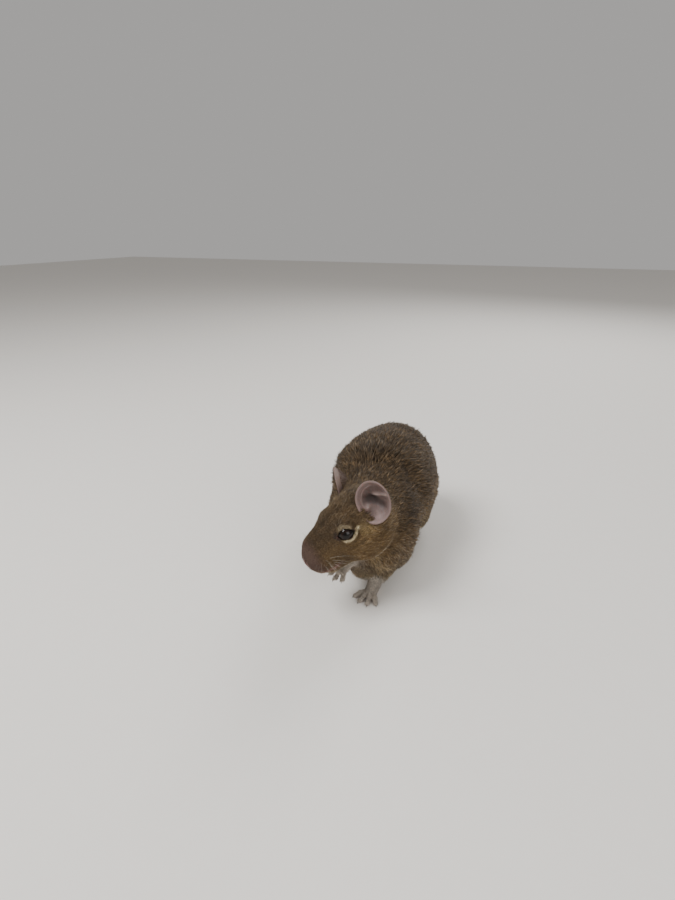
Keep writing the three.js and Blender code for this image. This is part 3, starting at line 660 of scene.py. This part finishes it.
# %% Make one piece of tufts
LOWEST_HAIR = 0.12
PATCH_SIZE = 0.003
def rooted_tufts(name, root, normal, way, long, wide, lift, colours, flat, deep=0.4):
    count = len(root)
    across = unit(np.cross(normal, way))
    lift, droop = np.radians(lift * 1.5), np.radians(lift * 0.55)
    half = 0.5 * long[:, None]
    start = root - normal * deep
    middle = root + half * (way * np.cos(lift)[:, None] + normal * np.sin(lift)[:, None])
    tip = middle + half * (way * np.cos(droop)[:, None] + normal * np.sin(droop)[:, None])
    blade = np.empty((count, 7, 3))
    for i, (centre, share) in enumerate(((start, 0.5), (middle, 0.42))):
        blade[:, 3 * i] = centre - across * wide[:, None] * share
        blade[:, 3 * i + 1] = centre + across * wide[:, None] * share
        blade[:, 3 * i + 2] = centre + normal * wide[:, None] * share * 0.7
    blade[:, 6] = tip
    blade[:, :, 2] = np.maximum(blade[:, :, 2], LOWEST_HAIR)
    one = [(0, 1, 4), (0, 4, 3), (1, 2, 5), (1, 5, 4), (2, 0, 3), (2, 3, 5), (3, 4, 6), (4, 5, 6),
           (5, 3, 6), (0, 2, 1)]
    corners = (np.arange(count)[:, None, None] * 7 + np.array(one)).reshape(-1)
    mesh = bpy.data.meshes.new(name)
    mesh.vertices.add(count * 7)
    move_corners(mesh, blade.reshape(-1, 3))
    mesh.loops.add(len(corners))
    mesh.loops.foreach_set("vertex_index", corners)
    mesh.polygons.add(len(corners) // 3)
    mesh.polygons.foreach_set("loop_start", np.arange(0, len(corners), 3))
    mesh.update(calc_edges=True)
    write_colour(mesh, "fur_colour", colours.reshape(-1, 3))
    patch = np.array([(-0.5, -0.5), (0.5, -0.5), (0, -0.3), (-0.4, 0.1), (0.4, 0.1), (0, 0.25), (0, 0.5)])
    places = (flat[:, None, :] + patch * PATCH_SIZE).reshape(-1, 2)
    layer = mesh.uv_layers.new(name="OFBake")
    layer.data.foreach_set("uv", places[corners].ravel())
    mesh.shade_smooth()
    piece = add_object(name, mesh)
    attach(piece, "root")
    return piece

# %% [markdown]
# Agouti hair changes along its length. It is dark at the root and brown in the middle, and its
# tip is black, brown or pale. The mixture of tips is what makes the coat look grizzled.

# %% Colour the tufts from root to tip
PALE_BAND = np.array([0.155, 0.13, 0.095])
def agouti(base, tick, random):
    count = len(base)
    shade = random.normal(1, 0.16, (count, 1)).clip(0.6, 1.5)
    kind = random.random((count, 1))
    pale = base + PALE_BAND * (base.mean(axis=1, keepdims=True) / 0.06).clip(0.3, 1.6)
    tip = np.where(kind > 1 - 0.4 * tick, pale, base * 1.12)
    tip = np.where(kind < tick * 0.8, base * 0.3, tip)
    root_part = base * 0.45 * shade
    middle = base * shade * 1.08
    return np.stack([root_part] * 3 + [middle] * 3 + [tip * shade], axis=1).clip(0, 0.9)

# %% Grow the coat
root_spots = at_roots(spots)
root_facing = unit(at_roots(facing))
root_flow = at_roots(flow) + random.normal(0, 0.2, (TUFTS, 3))
root_flow = unit(root_flow - root_facing * (root_flow * root_facing).sum(axis=1)[:, None])
root_long = at_roots(coat_long) * random.uniform(0.72, 1.18, TUFTS)
root_wide = at_roots(coat_wide) * random.uniform(0.8, 1.25, TUFTS)
root_lift = at_roots(coat_lift) + random.normal(0, 6, TUFTS)
grizzle = np.interp(at_roots(coat_long), [0.8, 2.0, 6], [0.2, 0.62, 0.85])
speckle = 1 + grizzle * (0.5 * mottle(root_spots, 2.1, 21) + 0.25 * mottle(root_spots, 5, 22))
colours = agouti(at_roots(coat_colour) * speckle[:, None].clip(0.45, 1.7), grizzle[:, None], random)
PART_REACH = 1.5
TAIL_GROUP = 4
group = np.where(leg_distance < PART_REACH, np.where(spots[:, 0] > RUMP_X, 2, 3), 0)
group = np.where(near_part["head"] < PART_REACH, 1, group)
group = np.where(near_part["tail"] < PART_REACH, TAIL_GROUP, group)
root_group = group[picked[:, 0]]
flat = unfold(root_spots, root_facing, root_group)
order = np.argsort(root_spots[:, 1] + 300 * (root_group == TAIL_GROUP), kind="stable")
coat_pieces = []
for i, rows in enumerate(np.array_split(order, 8)):
    piece = rooted_tufts("coat_" + str(i + 1), root_spots[rows], root_facing[rows], root_flow[rows],
                         root_long[rows], root_wide[rows], root_lift[rows], colours[rows], flat[rows])
    coat_pieces.append(piece)
say("coat:", len(coat_pieces), "pieces,", TUFTS * 10, "triangles,")

# %% [markdown]
# The ears are thin, nearly bare cups with a rolled rim, a ridge and a deep hollow. They are
# drawn as rings from the middle to the rim, on the hollow side and the back, and closed at the
# rim, so each is a solid sheet. A lump of sculpted clay would be thicker and would pass no light.

# %% Make the ears
RINGS, SEGMENTS = 30, 96
EAR_HALF_LENGTH = {"left": 13.5, "right": 12.2}
EAR_HALF_WIDTH = 10.5
EAR_TUFTS = 5200
ears = {}
for name in EAR_POSES:
    base, frame_of_ear = ear_axes(name)
    share = np.repeat(np.arange(1, RINGS + 1) / RINGS, SEGMENTS)
    angle = np.tile(np.arange(SEGMENTS) * 2 * math.pi / SEGMENTS, RINGS)
    share, angle = np.append(share, 0), np.append(angle, 0)
    mirror = 1 if name == "left" else -1
    y = np.sin(angle) * share
    x = np.cos(angle) * share * (1 - 0.18 * np.maximum(0, -np.sin(angle)) ** 2)
    depth = -5.5 * (1 - share ** 2) + 1.2 * np.cos(angle) * share ** 3
    fx = x * mirror
    rim = np.exp(-((share - 0.93) / 0.06) ** 2)
    second = np.exp(-((share - 0.72) / 0.05) ** 2) * ramp(-fx, 0.05, 0.4) * ramp(y, -0.6, -0.3)
    ridge = np.exp(-((y - 0.22 - 0.35 * fx) / 0.10) ** 2) * ramp(fx, -0.45, -0.1) * fade(fx, 0.5, 0.75)
    hollow = np.exp(-((fx + 0.24) ** 2 / 0.07 + (y + 0.02) ** 2 / 0.035))
    fold = np.exp(-((fx + 0.30) ** 2 / 0.02 + (y + 0.42) ** 2 / 0.02))
    shelf = np.exp(-((y + 0.25 + 0.2 * fx) / 0.09) ** 2) * ramp(fx, -0.1, 0.1) * fade(fx, 0.4, 0.6)
    lobe = np.exp(-((fx - 0.32) ** 2 + (y + 0.5) ** 2) / 0.07)
    pleats = np.sin(angle * 11 + 3 * share) * ramp(share, 0.25, 0.6) * fade(share, 0.8, 0.9)
    detail = (0.8 * rim + 0.9 * second + 1.1 * ridge - 2.0 * hollow + 2.0 * fold + 0.7 * shelf
              + 0.6 * lobe + 0.16 * pleats)
    wall = 1.0 * (1 - 0.5 * share) + np.maximum(detail, 0) * 0.3 + 0.25 * rim
    wide, tall = x * EAR_HALF_WIDTH, EAR_HALF_LENGTH[name] * (1 + y)
    rear_depth = depth + np.minimum(detail, 0) + 0.5 * np.maximum(detail, 0) - wall
    front = np.column_stack([wide, tall, depth + detail])
    rear = np.column_stack([wide, tall, rear_depth])
    both = np.concatenate([front, rear]) @ frame_of_ear.T + base
    n = RINGS * SEGMENTS + 1
    spot_of = lambda side, r, s: side * n + (r * SEGMENTS + s % SEGMENTS if r >= 0 else n - 1)
    faces = []
    for side in (0, 1):
        for s in range(SEGMENTS):
            for r in range(-1, RINGS - 1):
                loop = [spot_of(side, r, s), spot_of(side, r + 1, s), spot_of(side, r + 1, s + 1)]
                if r >= 0:
                    loop.append(spot_of(side, r, s + 1))
                faces.append(loop[::-1] if side else loop)
    for s in range(SEGMENTS):
        faces.append([spot_of(0, RINGS - 1, s), spot_of(1, RINGS - 1, s), spot_of(1, RINGS - 1, s + 1),
                      spot_of(0, RINGS - 1, s + 1)])
    ear = new_piece("ear_skin_" + name, in_head(both), faces)
    # Painted light and shade on the ear skin: the raised rim, ridges, fold and lobe are painted lighter as
    # painted highlights, and the deep hollow and two bands inside the cup are painted darker as painted
    # shade, over the skin's own grey-pink tone. The back of the ear gets half of these painted tones.
    tone = np.tile(linear("#665450"), (n, 1))
    for code, part in (("#806c67", rim * 0.8), ("#8a756f", second * 0.6), ("#a48e88", ridge * 0.9),
                       ("#1d1513", hollow * 1.3), ("#94807a", fold), ("#8f7c79", lobe * 0.9),
                       ("#493a36", ramp(share, 0.2, 0.45) * fade(share, 0.6, 0.8) * 0.5),
                       ("#352926", fade(np.abs(y + 0.1), 0.05, 0.25) * fade(share, 0.4, 0.8))):
        tone = toward(tone, code, part)
    write_colour(ear.data, "ear_colour", np.concatenate([tone, tone * 0.5 + linear("#6b5a4c") * 0.5]))
    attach(ear, "root")
    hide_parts("ear_" + name)
    ears[name] = ear
    rear_rows = np.arange(n, 2 * n - 1)
    shares = share[:n - 1]
    where_hair = rear_rows[(shares > 0.06) & (shares < 0.82)]
    chosen = random.choice(where_hair, EAR_TUFTS)
    hair_root = corners_of(ear.data)[chosen] + random.normal(0, 0.22, (EAR_TUFTS, 3))
    hair_facing = read_corners(ear.data, "normal")[chosen]
    tip_way = HEAD_AXES @ (frame_of_ear @ np.array([0, 1.0, 0]))
    hair_way = tip_way + random.normal(0, 0.25, (EAR_TUFTS, 3))
    hair_way = unit(hair_way - hair_facing * (hair_way * hair_facing).sum(axis=1)[:, None])
    near_base = fade(EAR_HALF_LENGTH["left"] * (1 + y[chosen - n]), 2, 17)
    hair_tone = toward(linear("#5d4c43"), "#57452f", near_base)
    tufts = rooted_tufts("ear_fur_" + name, hair_root, hair_facing, hair_way,
                         0.9 + 2.4 * near_base * random.uniform(0.7, 1.2, EAR_TUFTS),
                         0.16 + 0.2 * near_base, np.full(EAR_TUFTS, 9.0),
                         agouti(hair_tone, np.full((EAR_TUFTS, 1), 0.15), random),
                         unfold(hair_root, hair_facing, np.zeros(EAR_TUFTS, dtype=int)), deep=0.15)
    coat_pieces.append(tufts)
say("ears made,")

# %% [markdown]
# The eye is a wet black ball with a slightly steeper cornea and a dark brown iris that shows only
# close up. It sits in its socket in the skin, so the lids overlap it.

# %% Make the eyes
eyes = []
for name, mirror in (("left", 1), ("right", -1)):
    sphere = bmesh.new()
    bmesh.ops.create_icosphere(sphere, subdivisions=5, radius=1)
    mesh = bpy.data.meshes.new("eyeball_" + name)
    sphere.to_mesh(mesh)
    sphere.free()
    ball = unit(read_corners(mesh, "co"))
    outward = EYE_OUT * [1, mirror, 1]
    around = ball @ outward
    bulge = 0.22 * ramp(around, 0.72, 0.95)
    place = in_head(EYE_PLACE * [1, mirror, 1] + ball * (EYE_RADIUS + bulge)[:, None])
    move_corners(mesh, place)
    mesh.shade_smooth()
    iris = ramp(around, 0.80, 0.84) * fade(around, 0.93, 0.95)
    tone = toward(linear("#0b0706"), "#1a0f0a", iris)
    write_colour(mesh, "eye_colour", tone)
    eye = add_object("eyeball_" + name, mesh)
    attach(eye, "root")
    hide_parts("eye_" + name)
    eyes.append(eye)

# %% [markdown]
# Claws and whiskers are the same shape at two sizes: a bent, tapering bar that is repeated. That
# is work for Geometry Nodes: one bar is drawn on a curve, put on points that carry a direction
# and a size, and made real, because copies that are only instances can't be exported.

# %% Build the tree for bent bars
LOWEST_BAR = 0.0001
def add_node(tree, kind, links=None, **settings):
    node = tree.nodes.new(kind)
    for key, value in settings.items():
        if key.startswith("in_"):
            node.inputs[key[3:].replace("_", " ")].default_value = value
        else:
            setattr(node, key, value)
    for socket, source in (links or {}).items():
        tree.links.new(source, node.inputs[socket])
    return node
def bar_tree(name, sizes):
    tree = bpy.data.node_groups.new(name, "GeometryNodeTree")
    def add_socket(label, way, kind):
        return tree.interface.new_socket(label, in_out=way, socket_type="NodeSocket" + kind)
    add_socket("Geometry", "INPUT", "Geometry")
    add_socket("Geometry", "OUTPUT", "Geometry")
    for label, value in sizes.items():
        add_socket(label, "INPUT", "Float").default_value = value
    add_socket("Finish", "INPUT", "Material")
    given = add_node(tree, "NodeGroupInput").outputs
    half = add_node(tree, "ShaderNodeMath", {0: given["Length"]}, operation="MULTIPLY")
    half.inputs[1].default_value = 0.55
    middle = add_node(tree, "ShaderNodeCombineXYZ", {"Z": half.outputs[0]})
    end = add_node(tree, "ShaderNodeCombineXYZ", {"X": given["Bend"], "Z": given["Length"]})
    path = add_node(tree, "GeometryNodeCurveQuadraticBezier",
                    {"Middle": middle.outputs[0], "End": end.outputs[0]}, in_Resolution=8, in_Start=(0, 0, 0))
    outline = add_node(tree, "GeometryNodeCurvePrimitiveCircle", {"Radius": given["Thickness"]},
                       in_Resolution=5)
    along = add_node(tree, "GeometryNodeSplineParameter")
    taper = add_node(tree, "ShaderNodeMapRange", {"Value": along.outputs["Factor"]})
    taper.inputs["To Min"].default_value = 1.0
    taper.inputs["To Max"].default_value = 0.12
    bar = add_node(tree, "GeometryNodeCurveToMesh", {"Curve": path.outputs[0],
                   "Profile Curve": outline.outputs[0], "Scale": taper.outputs[0]})
    bar.inputs["Fill Caps"].default_value = True
    aim = add_node(tree, "GeometryNodeInputNamedAttribute", data_type="FLOAT_VECTOR", in_Name="aim")
    size = add_node(tree, "GeometryNodeInputNamedAttribute", data_type="FLOAT", in_Name="size")
    point = add_node(tree, "FunctionNodeAlignRotationToVector", {"Vector": aim.outputs[0]}, axis="Z")
    hang = add_node(tree, "FunctionNodeAlignRotationToVector", {"Rotation": point.outputs[0]},
                    axis="X", pivot_axis="Z", in_Vector=(0, 0, -1))
    copies = add_node(tree, "GeometryNodeInstanceOnPoints", {"Points": given["Geometry"],
                      "Instance": bar.outputs[0], "Rotation": hang.outputs[0], "Scale": size.outputs[0]})
    real = add_node(tree, "GeometryNodeRealizeInstances", {"Geometry": copies.outputs[0]})
    soft = add_node(tree, "GeometryNodeSetShadeSmooth", {"Geometry": real.outputs[0]})
    finish = add_node(tree, "GeometryNodeSetMaterial", {"Geometry": soft.outputs[0],
                      "Material": given["Finish"]})
    add_node(tree, "NodeGroupOutput", {"Geometry": finish.outputs[0]})
    return tree
def bars(name, tree, places, aims, sizes, finish):
    cloud = new_piece(name + "_points", np.array(places), [], smooth=False)
    aim = cloud.data.attributes.new("aim", "FLOAT_VECTOR", "POINT")
    aim.data.foreach_set("vector", unit(aims).ravel())
    size = cloud.data.attributes.new("size", "FLOAT", "POINT")
    size.data.foreach_set("value", np.array(sizes, float))
    step = cloud.modifiers.new("bars", "NODES")
    step.node_group = tree
    for item in tree.interface.items_tree:
        if item.in_out == "INPUT" and item.name == "Finish":
            step[item.identifier] = finish
    ready = cloud.evaluated_get(bpy.context.evaluated_depsgraph_get())
    mesh = bpy.data.meshes.new_from_object(ready)
    cloud.modifiers.remove(step)
    bpy.data.objects.remove(cloud)
    mesh.name = name
    corners = read_corners(mesh, "co")
    corners[:, 2] = np.maximum(corners[:, 2], LOWEST_BAR)
    mesh.vertices.foreach_set("co", corners.ravel())
    piece = add_object(name, mesh)
    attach(piece, "root")
    print(name, len(mesh.polygons), "faces")

# %% [markdown]
# A finish starts from what the real thing is. Keratin in claws and hair has an index near 1.55,
# fur is dull because its light comes back from many fibres, and a wet eye is as smooth as glass.

# %% Make the finishes
def finish_of(name, attribute, grain, grain_depth, vary=0.22, **values):
    look = bpy.data.materials.new(name)
    look.use_nodes = True
    tree = look.node_tree
    shader = tree.nodes["Principled BSDF"]
    for label, value in values.items():
        shader.inputs[label.replace("_", " ")].default_value = value
    place = add_node(tree, "ShaderNodeTexCoord")
    noise = add_node(tree, "ShaderNodeTexNoise", {"Vector": place.outputs["Object"]},
                     in_Scale=1000 / grain, in_Detail=3.0)
    shade = add_node(tree, "ShaderNodeMapRange", {"Value": noise.outputs["Fac"]})
    shade.inputs["To Min"].default_value = 1 - vary
    shade.inputs["To Max"].default_value = 1 + vary
    tint = add_node(tree, "ShaderNodeVectorMath", {1: shade.outputs[0]}, operation="MULTIPLY")
    if attribute.startswith("#"):
        tint.inputs[0].default_value = tuple(linear(attribute))
    else:
        source = add_node(tree, "ShaderNodeAttribute", attribute_name=attribute)
        tree.links.new(source.outputs["Color"], tint.inputs[0])
    tree.links.new(tint.outputs[0], shader.inputs["Base Color"])
    if grain_depth:
        bump = add_node(tree, "ShaderNodeBump", {"Height": noise.outputs["Fac"]},
                        in_Strength=grain_depth, in_Distance=0.0003)
        tree.links.new(bump.outputs[0], shader.inputs["Normal"])
    return look
fur_finish = finish_of("agouti fur", "fur_colour", 2.0, 0, Roughness=0.62, IOR=1.5,
                       Specular_IOR_Level=0.3)
skin_finish = finish_of("bare skin and underfur", "skin_colour", 0.7, 0.5, Roughness=0.68, IOR=1.42)
ear_finish = finish_of("thin ear skin", "ear_colour", 1.1, 0.45, Roughness=0.6, IOR=1.42,
                       Subsurface_Weight=0.12, Subsurface_Scale=0.0008)
eye_finish = finish_of("wet eye", "eye_colour", 3.0, 0, Roughness=0.03, IOR=1.34)
claw_finish = finish_of("claw keratin", "#4a403a", 0.8, 0.2, Roughness=0.38, IOR=1.55)
whisker_finish = finish_of("whisker keratin", "#a39a8b", 3.0, 0, Roughness=0.45, IOR=1.55)
skin.data.materials.append(skin_finish)
for piece in coat_pieces:
    piece.data.materials.append(fur_finish)
for piece in ears.values():
    piece.data.materials.append(ear_finish)
for piece in eyes:
    piece.data.materials.append(eye_finish)

# %% Grow the claws
claw_places, claw_aims, claw_sizes = [], [], []
for name, (place, axes) in FEET.items():
    kind = name.split()[0]
    for points, _ in toes_of(kind):
        tip, end = points[3], points[4]
        aim = axes @ unit(end - tip + [0, 0, 0.35])
        claw_places.append(np.asarray(place) + axes @ (tip - unit(end - tip) * 0.5 + [0, 0, 0.15]))
        claw_aims.append(aim)
        claw_sizes.append(1.0 if kind == "fore" else 1.35)
claw_tree = bar_tree("claw", {"Length": 0.0026, "Thickness": 0.00045, "Bend": 0.0011})
bars("claws", claw_tree, claw_places, claw_aims, claw_sizes, claw_finish)

# %% Grow the whiskers, no farther than the outline allows
WHISKER_LENGTH = 20
OUTLINE_SHARE, OUTLINE_ROOM = 0.03, 8
random = np.random.default_rng(5)
whisker_places, whisker_aims, whisker_sizes = [], [], []
low, high = np.array(cad_box[0]) * 1000, np.array(cad_box[1]) * 1000
allowed = OUTLINE_SHARE * (high - low) + OUTLINE_ROOM
for mirror in (1, -1):
    for row in range(4):
        for i in range(4):
            x = 43.5 - 1.9 * i - 0.3 * row
            place = in_head([x, mirror * (7.0 + 0.55 * i), -3.2 - 1.35 * row])
            aim = unit([0.45 - 0.32 * i, mirror * 1.0, 0.42 - 0.26 * row] + random.normal(0, 0.12, 3))
            length = (12 + 4.2 * i) * random.uniform(0.85, 1.1)
            whisker_places.append(place)
            whisker_aims.append(HEAD_AXES @ aim)
            whisker_sizes.append(length)
    for i in range(3):
        whisker_places.append(in_head([25.5 - 1.2 * i, mirror * 10.6, 10.6]))
        whisker_aims.append(HEAD_AXES @ unit([0.1 - 0.3 * i, mirror * 0.6, 0.8]))
        whisker_sizes.append(13)
whisker_places = settle(np.array(whisker_places), 3)
whisker_aims = unit(whisker_aims)
for i, length in enumerate(whisker_sizes):
    start = whisker_places[i] + SHIFT
    end = start + whisker_aims[i] * length
    while np.any(end > high + allowed) or np.any(end < low - allowed):
        length *= 0.95
        end = start + whisker_aims[i] * length
    whisker_sizes[i] = length / WHISKER_LENGTH
whisker_tree = bar_tree("whisker", {"Length": WHISKER_LENGTH / 1000, "Thickness": 0.00006, "Bend": 0.003})
bars("whiskers", whisker_tree, whisker_places, whisker_aims, whisker_sizes, whisker_finish)

# %% [markdown]
# A plain pale floor and soft lights. A large lamp above and to the left models the form, a weaker
# one fills from the right, and one behind parts the back from the floor.

# %% Lay the floor and set the lights
LIT_PLACE = Vector((0, -0.03, 0.04))
floor_mesh = bpy.data.meshes.new("floor")
floor_mesh.from_pydata([(-3, -3, 0), (3, -3, 0), (3, 3, 0), (-3, 3, 0)], [], [(0, 1, 2, 3)])
floor = add_object("floor", floor_mesh)
floor_mesh.materials.append(finish_of("matt pale board", "#dedad4", 9.0, 0, 0.015, Roughness=0.85))
def lamp(name, place, size, power):
    light = bpy.data.lights.new(name, "AREA")
    light.size = size
    light.energy = power
    thing = add_object(name, light)
    thing.location = place
    thing.rotation_euler = (LIT_PLACE - Vector(place)).to_track_quat("-Z", "Y").to_euler()
lamp("main light", (-0.45, -0.55, 0.95), 0.5, 14)
lamp("fill light", (0.8, -0.6, 0.5), 0.7, 5)
lamp("back light", (0.2, 0.9, 0.8), 0.5, 7)
world = bpy.data.worlds.new("studio")
bpy.context.scene.world = world
world.use_nodes = True
world.node_tree.nodes["Background"].inputs["Color"].default_value = (0.92, 0.9, 0.88, 1)
world.node_tree.nodes["Background"].inputs["Strength"].default_value = 0.45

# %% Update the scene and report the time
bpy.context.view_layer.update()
say("made in")
